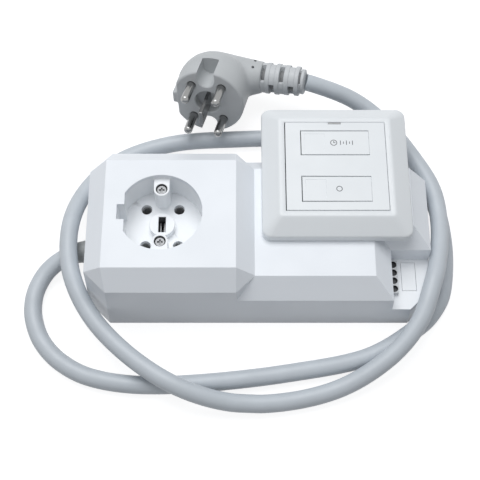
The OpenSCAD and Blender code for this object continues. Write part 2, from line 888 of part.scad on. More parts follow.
module plug_body() color(cord_grey)
    at_plug()
        difference() {
            union() {
                translate([0, 0, -nose_l - eps])
                    linear_extrude(nose_l + eps)
                        plug_plan();
                rotate_extrude()
                    polygon(dome);
                along_neck() {
                    cylinder(h = neck_x, r1 = neck_r, r2 = neck_tip_r);
                    sphere(r = neck_r);
                }
                translate([-recess_flat - plug_key_d + recess_r - nose_r, -plug_key_w / 2, -nose_l])
                    cube([plug_key_d + plug_key_root, plug_key_w, nose_l - plug_key_short]);
            }
            for (s = [-1, 1])
                translate([0, s * lug_pitch / 2, -channel_depth])
                    linear_extrude(channel_depth + over) {
                        circle(r = channel_r);
                        translate([-channel_r, s > 0 ? 0 : -nose_r])
                            square([2 * channel_r, nose_r]);
                    }
            translate([0, 0, -face_recess_h])
                cylinder(h = face_recess_h + over, d = face_recess_d);
            for (p = pin_xy)
                translate([p[0], p[1], -pin_root])
                    cylinder(h = pin_root + over, d = pin_d + fit_gap);
            translate([-blade_t / 2 - fit_gap / 2, -blade_w / 2 - fit_gap / 2, -pin_root - face_recess_h])
                cube([blade_t + fit_gap, blade_w + fit_gap, pin_root + face_recess_h + over]);
        }

// Ringed sleeve: between two rings stand two bridges, turned by a quarter from gap to gap
module plug_strain_relief() color(cord_grey)
    at_plug()
        along_neck()
            translate([0, 0, neck_x]) {
                step = relief_l / relief_ribs;
                cylinder(h = relief_l, r = relief_core_r);
                for (i = [0:relief_ribs - 1])
                    let (r = relief_rib_r - i * (relief_rib_r - relief_tip_r) / (relief_ribs - 1))
                    translate([0, 0, i * step]) {
                        cylinder(h = step * relief_land, r = r);
                        if (i < relief_ribs - 1)
                            intersection() {
                                cylinder(h = step + eps, r = r - bridge_drop);
                                rotate([0, 0, 90 * (i % 2)])
                                    translate([-bridge_w / 2, -relief_rib_r, 0])
                                        cube([bridge_w, 2 * relief_rib_r, step + eps]);
                            }
                    }
            }

module plug_pins() color("silver")
    at_plug()
        for (p = pin_xy)
            translate([p[0], p[1], -pin_root]) {
                cylinder(h = pin_root + pin_out - pin_tip_l, d = pin_d);
                translate([0, 0, pin_root + pin_out - pin_tip_l - eps])
                    cylinder(h = pin_tip_l, d1 = pin_d, d2 = pin_tip_d);
            }

module plug_earth_blade() color("silver")
    at_plug()
        translate([-blade_t / 2, -blade_w / 2, -pin_root - face_recess_h])
            cube([blade_t, blade_w, pin_root + face_recess_h + pin_out]);

module at_panel(z) {
    translate([panel_c[0], panel_c[1], deck_h + z])
        children();
}

// Square outline with round corners at height z
corner_steps = 6;
function round_square(w, r, z) = [
    for (q = [0:3], i = [0:corner_steps])
        let (a = 90 * q + 90 * i / corner_steps, sx = (q == 0 || q == 3) ? 1 : -1, sy = q < 2 ? 1 : -1)
        [sx * (w / 2 - r) + r * cos(a), sy * (w / 2 - r) + r * sin(a), z]
];

// Closed solid through a stack of outlines that have the same number of points
module loft(rings) {
    n = len(rings[0]);
    top = (len(rings) - 1) * n;
    polyhedron(
        [for (r = rings) each r],
        concat(
            [[for (k = [0:n - 1]) k]],
            [
                for (i = [0:len(rings) - 2], k = [0:n - 1])
                    let (j = (k + 1) % n, a = i * n, b = a + n)
                    each [[a + k, b + k, b + j], [a + k, b + j, a + j]]
            ],
            [[for (k = [n - 1:-1:0]) top + k]]
        )
    );
}

module frame_form(inset, z0) {
    w = frame_w - 2 * inset;
    r = max(frame_r - inset, 1);
    loft([
        round_square(w, r, z0),
        round_square(w, r, frame_edge - edge_soft - inset / 2),
        round_square(w - 2 * edge_soft, r, frame_edge - inset / 2),
        round_square(slope_w + 2 * rim_soft_w - inset, rim_r + rim_soft, frame_h - rim_soft - inset),
        round_square(slope_w - inset, rim_r, frame_h - inset)
    ]);
}

module panel_frame() color(case_white)
    at_panel(0)
        difference() {
            frame_form(0, 0);
            frame_form(frame_wall, -over);
            translate([-opening_w / 2, -opening_w / 2, 0])
                cube([opening_w, opening_w, frame_h + over]);
        }

panel_posts = [for (sx = [-1, 1], sy = [-1, 1]) [sx, sy] * (plate_w / 2 - panel_post_in)];

module panel_base() color([0.88, 0.89, 0.91])
    at_panel(0)
        difference() {
            union() {
                translate([-panel_base_w / 2, -panel_base_w / 2, 0])
                    linear_extrude(panel_base_t)
                        intersection() {
                            square(panel_base_w);
                            translate([panel_base_w / 2, panel_base_w / 2])
                                circle(r = panel_base_w / sqrt(2) - frame_r / 2);
                        }
                for (p = panel_posts)
                    translate([p[0], p[1], 0])
                        cylinder(h = panel_board_z, d = panel_post_d);
            }
            for (p = panel_posts)
                translate([p[0], p[1], panel_pilot_z])
                    cylinder(h = panel_board_z, d = panel_hole_d);
            for (s = [-1, 1])
                translate([s * panel_fix / 2, 0, -over])
                    linear_extrude(panel_base_t + 2 * over) {
                        square([panel_slot_d, panel_slot_l - panel_slot_d], center = true);
                        for (t = [-1, 1])
                            translate([0, t * (panel_slot_l - panel_slot_d) / 2])
                                circle(d = panel_slot_d);
                    }
        }

module panel_board() color("darkgreen")
    at_panel(panel_board_z)
        difference() {
            translate([-panel_board_w / 2, -panel_board_w / 2, 0])
                cube([panel_board_w, panel_board_w, panel_board_t]);
            for (p = panel_posts)
                translate([p[0], p[1], -over])
                    cylinder(h = panel_board_t + 2 * over, d = panel_hole_d);
            for (s = [-1, 1])
                translate([s * panel_fix / 2 - panel_slot_d, -panel_slot_l / 2 - over, -over])
                    cube([2 * panel_slot_d, panel_slot_l + 2 * over, panel_board_t + 2 * over]);
        }

module panel_screws() color("silver")
    at_panel(panel_board_top)
        for (p = panel_posts)
            translate([p[0], p[1], 0])
                screw(panel_head_d, panel_head_h, panel_screw_d, panel_board_t + panel_grip);

module at_switch(s) {
    at_panel(panel_board_top)
        translate([-key_l / 2 + switch_in, s * key_pitch / 2, 0])
            children();
}

module key_switches() color([0.15, 0.15, 0.17])
    for (s = [-1, 1])
        at_switch(s)
            difference() {
                translate([-switch_w / 2, -switch_w / 2, 0])
                    cube([switch_w, switch_w, switch_h]);
                translate([0, 0, switch_floor])
                    cylinder(h = switch_h, d = plunger_d + 2 * plunger_fit);
            }

// Pusher under a key, which moves with it and reaches down into the switch
module plunger(s) {
    at_switch(s)
        translate([0, 0, plunger_foot])
            cylinder(h = plunger_top - panel_board_top - plunger_foot, d = plunger_d);
}

module timer_plunger() color("ivory")
    plunger(1);

module off_plunger() color("ivory")
    plunger(-1);

module panel_terminals() color([0.2, 0.5, 0.3])
    at_panel(panel_board_top)
        translate([panel_block_x, -panel_block[1] / 2, 0])
            difference() {
                cube(panel_block);
                for (i = [0:terminal_ways - 1])
                    translate([panel_way_x, (i + 0.5) * panel_block[1] / terminal_ways, panel_way_z])
                        cylinder(h = panel_block[2], d = panel_way_d);
            }

module indicator_lens() color([0.2, 0.2, 0.22])
    at_panel(panel_board_top)
        translate([-lens_l / 2, plate_w / 2 - lens_w, 0])
            cube([lens_l, lens_w, frame_h - panel_board_top]);

// Outline of a key's opening: a slit on three sides and the hinge on the right
module key_opening() {
    translate([-key_l / 2 - key_slit, -key_w / 2 - key_slit])
        square([key_l + key_slit + hinge_gap, key_w + 2 * key_slit]);
}

module centre_plate() color(case_white)
    at_panel(0)
        difference() {
            translate([-plate_w / 2, -plate_w / 2, panel_board_top])
                cube([plate_w, plate_w, frame_h - panel_board_top]);
            translate([-plate_w / 2 + skirt_t, -plate_w / 2 + skirt_t, panel_board_top - over])
                cube([plate_w - 2 * skirt_t, plate_w - 2 * skirt_t, key_under - panel_board_top + over]);
            for (s = [-1, 1])
                translate([0, s * key_pitch / 2, key_under - over])
                    linear_extrude(plate_t + 2 * over)
                        key_opening();
            translate([-lens_l / 2 - fit_gap, plate_w / 2 - lens_w - fit_gap, 0])
                cube([lens_l + 2 * fit_gap, lens_w + 2 * fit_gap, frame_h + over]);
        }

// One flap key: hinged along its right edge, with a shallow finger pad near its free end
module key(s) {
    at_panel(key_under)
        translate([0, s * key_pitch / 2, 0])
            difference() {
                translate([-key_l / 2, -key_w / 2, 0])
                    cube([key_l, key_w, plate_t]);
                translate([-key_l / 2 + pad_in, -key_w / 2 + pad_in, plate_t - pad_depth])
                    cube([pad_l, key_w - 2 * pad_in, plate_t]);
            }
}

module timer_key() color(case_white)
    key(1);

module off_key() color(case_white)
    key(-1);

top_cover();
base_plate();
case_screws();
socket_cup();
socket_screws();
contact_carrier();
phase_contacts();
earth_contact();
main_board();
board_screws();
power_relays();
transformer();
mains_terminals();
core_leads();
cord_gland();
cord_tail();
cord_clamp();
clamp_screws();
control_terminals();
entry_blank();
mains_cord();
plug_body();
plug_strain_relief();
plug_pins();
plug_earth_blade();
panel_frame();
panel_base();
panel_board();
panel_screws();
key_switches();
timer_plunger();
off_plunger();
panel_terminals();
indicator_lens();
centre_plate();
timer_key();
off_key();
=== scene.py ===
import json
import math

import bmesh
import bpy
from mathutils import Matrix, Vector


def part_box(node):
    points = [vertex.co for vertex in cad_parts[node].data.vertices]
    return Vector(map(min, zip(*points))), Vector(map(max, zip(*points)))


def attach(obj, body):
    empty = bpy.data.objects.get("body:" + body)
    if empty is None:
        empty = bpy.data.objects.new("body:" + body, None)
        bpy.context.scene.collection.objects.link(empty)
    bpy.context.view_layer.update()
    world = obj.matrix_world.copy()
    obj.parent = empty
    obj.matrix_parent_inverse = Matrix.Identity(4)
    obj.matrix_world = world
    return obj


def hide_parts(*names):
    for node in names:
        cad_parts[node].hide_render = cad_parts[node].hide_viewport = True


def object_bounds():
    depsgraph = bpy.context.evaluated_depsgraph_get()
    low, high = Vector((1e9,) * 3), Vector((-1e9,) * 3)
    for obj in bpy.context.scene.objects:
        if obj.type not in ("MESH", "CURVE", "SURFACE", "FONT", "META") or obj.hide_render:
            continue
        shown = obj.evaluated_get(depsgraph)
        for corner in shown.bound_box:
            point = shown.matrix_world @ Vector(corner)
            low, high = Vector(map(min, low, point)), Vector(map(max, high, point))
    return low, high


# A stove timer: a power unit with its socket, a looped lead with its plug, and a control panel.

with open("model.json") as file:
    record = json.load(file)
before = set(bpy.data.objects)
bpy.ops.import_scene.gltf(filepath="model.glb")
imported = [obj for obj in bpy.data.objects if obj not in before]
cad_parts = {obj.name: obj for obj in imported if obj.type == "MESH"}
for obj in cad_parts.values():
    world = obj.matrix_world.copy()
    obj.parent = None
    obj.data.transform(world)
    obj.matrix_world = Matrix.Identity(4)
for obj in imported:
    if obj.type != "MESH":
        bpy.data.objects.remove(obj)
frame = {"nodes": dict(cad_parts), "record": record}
cad_low, cad_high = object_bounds()
NODES = frame["nodes"]
MM = 0.001
X_AXIS, Z_AXIS = Vector((1, 0, 0)), Vector((0, 0, 1))
scene = bpy.context.scene

# Lengths are in millimetres and angles in degrees, unless a line says otherwise.

# Camera, fitted to the photograph's edges
CAMERA_AT = (-10.4 * MM, -273.6 * MM, 562.5 * MM)
CAMERA_TILT = math.radians(26.594)
CAMERA_LENS, CAMERA_SENSOR = 81.71, 36
# In metres
CAMERA_NEAR, CAMERA_FAR = 0.01, 20

# The lead's route, and its height where it lies on the floor
LIE = 5.05
GLAND_FACE = (-98.401, -5.0, 11.0)
ROUTE = [
    GLAND_FACE, (-107.7, -7.4, 9.7), (-116, -12.6, 7.6), (-121.8, -20.2, 5.9), (-125, -30.6, 5.25),
    (-124.3, -43, LIE), (-118.5, -57, LIE), (-107, -69, LIE), (-90, -77.5, LIE), (-64, -81.5, LIE),
    (-28, -80.2, LIE), (16, -74.8, LIE), (58, -66, LIE), (85.5, -49.8, LIE), (97.5, -37.6, LIE),
    (103.4, -23.2, LIE), (105.8, 4, LIE), (101.6, 32.5, LIE), (87, 55.5, LIE), (63, 69.5, LIE),
    (28, 73.5, LIE), (-12, 73, LIE), (-50, 69.8, 5.15), (-80, 58.4, 5.5), (-98.2, 36.4, 10.5),
    (-105.3, 8, 20.2), (-103.3, -21, 20.8), (-91.2, -46.4, 17.6), (-70, -68.9, 17.1), (-43, -86.3, 16),
    (-14, -92.5, 8.2), (16, -90.8, 5.4), (45, -83.2, 7), (69.6, -68.9, 13), (85.7, -51.3, 19.5),
    (93.8, -31.3, 23.8), (99.2, -12, 21), (101.9, 10, 17.4), (99.7, 31.6, 17.2), (90.2, 52, 17.6),
    (76.3, 79.2, 11.5), (56, 94, 17), (28.65, 100.1, 25.7),
]
LEAD_IN = 10.0
CORD_D = 9.9
CORD_STEPS, CORD_ROUND = 8, 8

# The plug's place and sizes, as in the solids
PLUG_TURN_X, PLUG_TURN_Z, PLUG_ROLL = math.radians(72), math.radians(9), math.radians(-22)
PLUG_REACH, NECK_DEPTH = 53.0, 28.5
RELIEF_L = 26.0
NECK_X = PLUG_REACH - RELIEF_L
NECK_R, NECK_TIP_R = 12.5, 9.3
NOSE_R, NOSE_L, NOSE_FLAT = 21.6, 13.0, 18.5
HEAD_L, PLUG_BACK, DOME_FLAT = 1.0, 19.0, 0.3
PLUG_KEY_X0, PLUG_KEY_X1, PLUG_KEY_HALF, PLUG_KEY_Z0, PLUG_KEY_Z1 = -21.5, -16.5, 3.8, -13.0, -1.0
CHANNEL_R, CHANNEL_DEPTH, LUG_Y = 5.0, 13.6, 15.8
FACE_RECESS_R, FACE_RECESS_H = 7.5, 5.0
PIN_X, PIN_Y, PIN_R, PIN_ROOT, PIN_OUT, PIN_TIP = 9.0, 11.2, 2.5, 9.9, 15.5, 2.0
PINS_AT = [(x, y) for x in (-PIN_X, PIN_X) for y in (-PIN_Y, PIN_Y)]

# The socket's place, its screw sinks and its earth slot
SOCKET_X, SOCKET_Y, LUG_Z, SINK_R = -53.0, 0.5, 45.5, 3.15
SLOT_X, SLOT_Y, SLOT_TOP = 2.2, 5.6, 34.0

# The notch, and the terminal strip's wells
NOTCH_X, NOTCH_Y, NOTCH_Z = 71.0, -12.0, 18.0
WELL_X, WELL_Y0, WELL_PITCH, WELL_R, WELL_TOP = 73.65, -32.1, 4.8, 1.95, 21.0

# The panel's place and sizes
PANEL_X, PANEL_Y, DECK_H = 42.0, 28.3, 39.0
FRAME_W, FRAME_R, FRAME_EDGE, FRAME_H = 81.0, 5.0, 5.6, 11.2
PLATE_W, PLATE_GAP, RIM_W = 55.0, 0.35, 2.8
KEY_L, KEY_W, KEY_PITCH, HINGE_GAP = 37.0, 14.6, 29.0, 0.2
TIMER_Y, OFF_Y = PANEL_Y + KEY_PITCH / 2, PANEL_Y - KEY_PITCH / 2


# Mesh helpers

# Faces that meet at more than this angle keep a sharp edge
SHARP = 35
NORMAL_WEIGHT = 80
DISC_SIDES = 48


def add(name, data):
    ob = bpy.data.objects.new(name, data)
    scene.collection.objects.link(ob)
    return ob


def shade(ob, sharp=SHARP):
    for poly in ob.data.polygons:
        poly.use_smooth = True
    ob.data.set_sharp_from_angle(angle=math.radians(sharp))
    return ob


def from_bmesh(name, bm, sharp=SHARP):
    mesh = bpy.data.meshes.new(name)
    bm.normal_update()
    bm.to_mesh(mesh)
    bm.free()
    return shade(add(name, mesh), sharp)


def weighted(ob):
    """Lets the large faces set the normals of the small ones beside them."""
    mod = ob.modifiers.new("even_normals", "WEIGHTED_NORMAL")
    mod.keep_sharp = True
    mod.weight = NORMAL_WEIGHT
    return ob


def bake(ob):
    """Applies the piece's modifiers to its mesh."""
    graph = bpy.context.evaluated_depsgraph_get()
    mesh = bpy.data.meshes.new_from_object(ob.evaluated_get(graph))
    old = ob.data
    ob.modifiers.clear()
    ob.data = mesh
    bpy.data.meshes.remove(old)
    mesh.name = ob.name
    return ob


def angles(n):
    """The n equal steps of a full turn, in radians."""
    return [2 * math.pi * k / n for k in range(n)]


def disc(x, y, z, r, n=DISC_SIDES):
    return [(x + r * math.cos(a), y + r * math.sin(a), z) for a in angles(n)]


def ring_about(at, side, up, r, n):
    """A ring of points round a point, in the plane of two unit vectors."""
    return [at + (side * math.cos(a) + up * math.sin(a)) * r for a in angles(n)]


def band(bm, a, b):
    """Quads between two closed rows of vertices."""
    for k in range(len(a)):
        j = (k + 1) % len(a)
        bm.faces.new((a[k], a[j], b[j], b[k]))


def loft(bm, rings, capped=True):
    """A skin through rings of points, closed at both ends if it is capped."""
    rows = [[bm.verts.new(Vector(p) * MM) for p in ring] for ring in rings]
    for a, b in zip(rows, rows[1:]):
        band(bm, a, b)
    if capped:
        bm.faces.new(rows[0][::-1])
        bm.faces.new(rows[-1])
    return bm


def solid_from(name, *parts):
    """One piece from closed lofts, each given by its rings."""
    bm = bmesh.new()
    for rings in parts:
        loft(bm, rings)
    bmesh.ops.recalc_face_normals(bm, faces=bm.faces)
    return from_bmesh(name, bm)


# Camera


def make_camera():
    data = bpy.data.cameras.new("photo_view")
    data.sensor_width = CAMERA_SENSOR
    data.lens = CAMERA_LENS
    data.clip_start = CAMERA_NEAR
    data.clip_end = CAMERA_FAR
    cam = add("photo_view", data)
    cam.location = CAMERA_AT
    cam.rotation_euler = (CAMERA_TILT, 0, 0)
    scene.camera = cam


make_camera()


# Materials

# The noise values between which a finish goes from its low to its high end
NOISE_LOW, NOISE_HIGH = 0.3, 0.7
NOISE_DETAIL, GRAIN_DETAIL = 3.0, 2.0
# Roughness varies over patches this many times smaller than the colour's
ROUGH_FINER = 3
EVEN = (1, 1, 1)


class Shader:
    """A Principled material and the few node helpers that the finishes share."""

    def __init__(self, name, color, rough, metallic):
        self.mat = bpy.data.materials.new(name)
        self.mat.use_nodes = True
        self.nodes = self.mat.node_tree.nodes
        self.links = self.mat.node_tree.links
        self.bsdf = self.nodes["Principled BSDF"]
        self.bsdf.inputs["Base Color"].default_value = (*color, 1)
        self.bsdf.inputs["Roughness"].default_value = rough
        self.bsdf.inputs["Metallic"].default_value = metallic
        self.color = color
        self.rough = rough
        coords = self.nodes.new("ShaderNodeTexCoord")
        self.place = coords.outputs["Object"]

    def noise(self, size_mm, detail=NOISE_DETAIL, stretch=EVEN):
        mapping = self.nodes.new("ShaderNodeMapping")
        mapping.inputs["Scale"].default_value = [s / (size_mm * MM) for s in stretch]
        self.links.new(self.place, mapping.inputs["Vector"])
        tex = self.nodes.new("ShaderNodeTexNoise")
        tex.inputs["Scale"].default_value = 1.0
        tex.inputs["Detail"].default_value = detail
        self.links.new(mapping.outputs["Vector"], tex.inputs["Vector"])
        return tex.outputs["Fac"]

    def vary_color(self, size_mm, amount):
        ramp = self.nodes.new("ShaderNodeValToRGB")
        low, high = ramp.color_ramp.elements
        low.position, high.position = NOISE_LOW, NOISE_HIGH
        low.color = (*[c * (1 - amount) for c in self.color], 1)
        high.color = (*[min(1.0, c * (1 + amount)) for c in self.color], 1)
        self.links.new(self.noise(size_mm), ramp.inputs["Fac"])
        self.links.new(ramp.outputs["Color"], self.bsdf.inputs["Base Color"])
        return self

    def vary_rough(self, size_mm, amount):
        span = self.nodes.new("ShaderNodeMapRange")
        span.inputs["From Min"].default_value = NOISE_LOW
        span.inputs["From Max"].default_value = NOISE_HIGH
        span.inputs["To Min"].default_value = self.rough - amount
        span.inputs["To Max"].default_value = self.rough + amount
        self.links.new(self.noise(size_mm), span.inputs["Value"])
        self.links.new(span.outputs["Result"], self.bsdf.inputs["Roughness"])
        return self

    def grain(self, size_mm, depth_mm, strength, stretch):
        bump = self.nodes.new("ShaderNodeBump")
        bump.inputs["Strength"].default_value = strength
        bump.inputs["Distance"].default_value = depth_mm * MM
        self.links.new(self.noise(size_mm, GRAIN_DETAIL, stretch), bump.inputs["Height"])
        self.links.new(bump.outputs["Normal"], self.bsdf.inputs["Normal"])
        return self


def finish(name, color, rough, metallic=0.0, tint=0.02, tint_size=40, rough_by=0.05, grain=0.5, depth=0.02,
           strength=0.4, stretch=EVEN):
    shader = Shader(name, color, rough, metallic)
    shader.vary_color(tint_size, tint).vary_rough(tint_size / ROUGH_FINER, rough_by)
    shader.grain(grain, depth, strength, stretch)
    return shader.mat


WHITE = finish("white_moulding", (0.832, 0.866, 0.906), 0.38, tint=0.012, tint_size=55, grain=0.45,
               depth=0.012)
# A brighter white, painted light: it stands in for the light that reaches into the socket's cup, the entry
# blank and the notch floor
PAINTED_LIGHT_WHITE = finish("white_with_painted_light", (0.897, 0.92, 0.943), 0.38, tint=0.012, tint_size=25, grain=0.45,
                   depth=0.01)
PANEL_WHITE = finish("panel_moulding", (0.792, 0.822, 0.842), 0.36, tint=0.01, tint_size=35, grain=0.6,
                     depth=0.008)
BASE_WHITE = finish("base_moulding", (0.74, 0.76, 0.79), 0.5, grain=0.7, depth=0.03)
SHEATH = finish("grey_sheath", (0.555, 0.598, 0.638), 0.42, tint=0.035, tint_size=14, grain=0.9)
PLUG_GREY = finish("plug_moulding", (0.515, 0.535, 0.545), 0.5, tint=0.025, tint_size=18, grain=0.35)
PLUG_FACE = finish("plug_face", (0.52, 0.535, 0.545), 0.55, tint=0.03, tint_size=9, grain=0.3)
NICKEL = finish("nickel", (0.33, 0.332, 0.33), 0.22, metallic=1.0, tint=0.03, tint_size=4, grain=0.4,
                depth=0.004, stretch=(1, 1, 6))
STEEL = finish("zinc_screw", (0.19, 0.194, 0.2), 0.42, metallic=1.0, tint=0.06, tint_size=1.5, rough_by=0.08,
               grain=0.2, depth=0.012)
CONTACT = finish("dull_contact", (0.35, 0.355, 0.36), 0.5, tint=0.08, tint_size=2, rough_by=0.1, grain=0.2)
STRIP_GREY = finish("strip_moulding", (0.62, 0.635, 0.65), 0.45, tint=0.04, tint_size=5, grain=0.3)
RELIEF_GREY = finish("relief_moulding", (0.58, 0.6, 0.615), 0.5, tint=0.025, tint_size=12, grain=0.4)
# Painted shade: a dark grey for the screw gaps, the earth slot's walls, the blank's edges and the relief's
# window floors
PAINTED_SHADE_GREY = finish("painted_shade_grey", (0.2, 0.205, 0.21), 0.55, tint=0.05, tint_size=3, grain=0.3)
GLAND_GREY = finish("gland_moulding", (0.29, 0.302, 0.303), 0.5, tint=0.05, tint_size=4, grain=0.4)
# Dark plastic of the inner parts and the clamp; also painted shade in the terminal strip's wells and on the
# neck's vent dots
DARK = finish("dark_plastic", (0.045, 0.048, 0.055), 0.5, tint=0.12, tint_size=4, grain=0.3)
BOARD = finish("solder_mask", (0.02, 0.13, 0.06), 0.35, tint=0.2, tint_size=3)
BLOCK = finish("terminal_green", (0.05, 0.24, 0.1), 0.45, tint=0.06, tint_size=6)
RELAY = finish("relay_blue", (0.02, 0.06, 0.22), 0.4, tint=0.08, tint_size=8)
WINDING = finish("taped_winding", (0.38, 0.25, 0.06), 0.45, tint=0.12, tint_size=5, stretch=(1, 8, 1))
CORES = finish("core_brown", (0.12, 0.05, 0.025), 0.45, tint=0.1, tint_size=5)
LENS = finish("dark_lens", (0.40, 0.405, 0.41), 0.3, tint=0.1, tint_size=2)
INK = finish("grey_ink", (0.10, 0.105, 0.115), 0.6, tint=0.06, tint_size=0.8, grain=0.15, depth=0.004)

# The socket's cup and the entry blank take the brighter white, which is painted light
NODE_FINISH = {
    "top_cover": WHITE, "base_plate": BASE_WHITE, "case_screws": STEEL, "socket_cup": PAINTED_LIGHT_WHITE,
    "socket_screws": STEEL, "contact_carrier": DARK, "phase_contacts": CONTACT, "earth_contact": STEEL,
    "main_board": BOARD, "board_screws": STEEL, "power_relays": RELAY, "transformer": WINDING,
    "mains_terminals": BLOCK, "core_leads": CORES, "cord_gland": GLAND_GREY, "cord_tail": SHEATH,
    "cord_clamp": DARK, "clamp_screws": STEEL, "control_terminals": STRIP_GREY, "entry_blank": PAINTED_LIGHT_WHITE,
    "mains_cord": SHEATH, "plug_body": PLUG_GREY, "plug_strain_relief": RELIEF_GREY, "plug_pins": NICKEL,
    "plug_earth_blade": NICKEL, "panel_frame": PANEL_WHITE, "panel_base": BASE_WHITE, "panel_board": BOARD,
    "panel_screws": STEEL, "key_switches": DARK, "timer_plunger": BASE_WHITE, "off_plunger": BASE_WHITE,
    "panel_terminals": BLOCK, "indicator_lens": LENS, "centre_plate": PANEL_WHITE, "timer_key": PANEL_WHITE,
    "off_key": PANEL_WHITE,
}
BODY_OF = {n: b for b, ns in frame["record"]["behaviour"]["bodies"].items() for n in ns}
for node, mat in NODE_FINISH.items():
    NODES[node].data.materials.clear()
    NODES[node].data.materials.append(mat)


def dress(ob, node):
    """The piece stands for a CAD node: it has its finish and rides on its body."""
    ob.data.materials.clear()
    ob.data.materials.append(NODE_FINISH[node])
    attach(ob, BODY_OF[node])
    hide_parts(node)
    return ob


def join_piece(ob, node, mat):
    """A small extra piece, which rides with a CAD node and hides nothing."""
    ob.data.materials.append(mat)
    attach(ob, BODY_OF[node])
    return ob


def second_finish(ob, mat, wanted):
    """Gives the faces that wanted accepts another material."""
    ob.data.materials.append(mat)
    for poly in ob.data.polygons:
        if wanted(poly):
            poly.material_index = 1
    return ob


# The mains lead


def plug_matrix():
    """Plug frame to row frame, in millimetres: pins along +Z, neck along +X."""
    end = Vector(ROUTE[-1])
    turn = Matrix.Rotation(PLUG_TURN_Z, 4, "Z") @ Matrix.Rotation(PLUG_TURN_X, 4, "X")
    turn = turn @ Matrix.Rotation(PLUG_ROLL, 4, "Y")
    return Matrix.Translation(end) @ turn @ Matrix.Translation((-PLUG_REACH, 0, NECK_DEPTH))


PLUG = plug_matrix()
PLUG_AXIS = (PLUG.to_3x3() @ X_AXIS).normalized()
# The same frame for meshes, which are in metres
PLUG_M = Matrix.Translation(PLUG.translation * MM) @ PLUG.to_3x3().to_4x4()


def curve_through(points, first, last, steps):
    """A Catmull-Rom curve through the points. First and last only set its end directions."""
    pts = [first, *points, last]
    line = []
    for i in range(1, len(pts) - 2):
        a, b, c, d = (Vector(p) for p in pts[i - 1:i + 3])
        for k in range(steps):
            t = k / steps
            line.append(0.5 * (2 * b + (c - a) * t + (2 * a - 5 * b + 4 * c - d) * t * t
                               + (3 * b - a - 3 * c + d) * t ** 3))
    line.append(Vector(points[-1]))
    return line


def make_cord():
    """The lead, kept inside the box of its CAD solid, with its middle line and length in metres."""
    first = Vector(GLAND_FACE) + Vector((LEAD_IN, 0, 0))
    last = Vector(ROUTE[-1]) - LEAD_IN * PLUG_AXIS
    lo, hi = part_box("mains_cord")
    r = CORD_D / 2 * MM
    line = [Vector([min(max(c * MM, a + r), b - r) for c, a, b in zip(p, lo, hi)])
            for p in curve_through(ROUTE, first, last, CORD_STEPS)]
    curve = bpy.data.curves.new("lead", "CURVE")
    curve.dimensions = "3D"
    curve.bevel_depth = r
    curve.bevel_resolution = CORD_ROUND
    curve.use_fill_caps = True
    spline = curve.splines.new("POLY")
    spline.points.add(len(line) - 1)
    for point, p in zip(spline.points, line):
        point.co = (*p, 1)
    spline.use_smooth = True
    length = sum((b - a).length for a, b in zip(line, line[1:]))
    return dress(add("lead", curve), "mains_cord"), line, length


lead, lead_line, lead_length = make_cord()


# Softened copies of the CAD pieces

# Points this near are one, and faces this near to one plane are one face (metres, radians)
SAME_POINT, SAME_PLANE = 2e-6, math.radians(0.4)
# Faces larger than this are shaded flat
PLAIN_FACE = 25 * MM * MM
# A corner facet: the least share of each axis in its normal, and its least area
FACET_LEAN, FACET_AREA = 0.25, 20 * MM * MM
# How far out of a facet, and from its middle, a point may be to be brought back (metres)
OUT_LEAST, OUT_MOST, OUT_REACH = 1e-6, 0.8 * MM, 9 * MM
# Edges that turn by more than this are rounded
SOFT_ANGLE = math.radians(22)
# A point this near to a side of the node's box is on that side (metres)
ON_SIDE = 1e-5
# The plate sits a little off the middle of its opening, and the keys fill theirs closely
PLATE_SIDES = {"left": -0.1, "right": 0.16, "back": 0.24}
KEY_SIDES = {"left": 0.19, "front": 0.16, "back": 0.16}
KEY_DROP = 0.03

# Limits of the tests for faces and edges below: slack round an outline, depths below a rim, and the
# share of Z in the normal of a face that stands upright or looks up
SLACK, FLOOR_SLACK = 0.05, 0.1
CUP_RIM, WELL_RIM = 0.3, 0.2
UPRIGHT, BLANK_UPRIGHT, LOOKS_UP = 0.3, 0.6, 0.9
# A point inside the cover, from which its outer skin faces away, and the top of its foot
COVER_HEART, COVER_FOOT = Vector((0, 0, 15 * MM)), 6
# Edges above these heights are rounded. The panel's is measured from the deck
CUP_ABOVE, SCREWS_ABOVE, BLANK_ABOVE, PANEL_ABOVE = 30.5, 42, 17.5, 10.5


def merge_planes(bm):
    bmesh.ops.dissolve_limit(bm, angle_limit=SAME_PLANE, verts=bm.verts, edges=bm.edges)
    return bm


def node_bmesh(node):
    """A copy of the node's mesh, with one face for each plane."""
    bm = bmesh.new()
    bm.from_mesh(NODES[node].data)
    bmesh.ops.remove_doubles(bm, verts=bm.verts, dist=SAME_POINT)
    return merge_planes(bm)


def level_facets(bm):
    """Brings what stands out of a corner facet back to the facet's plane."""
    facets = [f for f in bm.faces if min(map(abs, f.normal)) > FACET_LEAN and f.calc_area() > FACET_AREA]
    planes = [(f.verts[0].co.copy(), f.calc_center_median(), f.normal.copy()) for f in facets]
    for corner, centre, normal in planes:
        for v in bm.verts:
            out = (v.co - corner).dot(normal)
            if OUT_LEAST < out < OUT_MOST and (v.co - centre).length < OUT_REACH:
                v.co -= normal * out
    return merge_planes(bm)


def move_sides(bm, node, left=0.0, right=0.0, front=0.0, back=0.0):
    """Moves the outermost side faces of a piece outwards."""
    lo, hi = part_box(node)
    for v in bm.verts:
        for axis, at, by in ((0, lo, -left), (0, hi, right), (1, lo, -front), (1, hi, back)):
            if abs(v.co[axis] - at[axis]) < ON_SIDE:
                v.co[axis] += by * MM
    return bm


def soften(bm, offset_mm, keep, segments):
    """Rounds the outward edges that keep accepts."""
    bm.normal_update()
    edges = []
    for e in bm.edges:
        if len(e.link_faces) != 2 or e.calc_face_angle_signed(0) < SOFT_ANGLE:
            continue
        if keep is None or keep(e):
            edges.append(e)
    bmesh.ops.bevel(bm, geom=edges, offset=offset_mm * MM, offset_type="OFFSET", segments=segments,
                    profile=0.5, affect="EDGES", clamp_overlap=True)


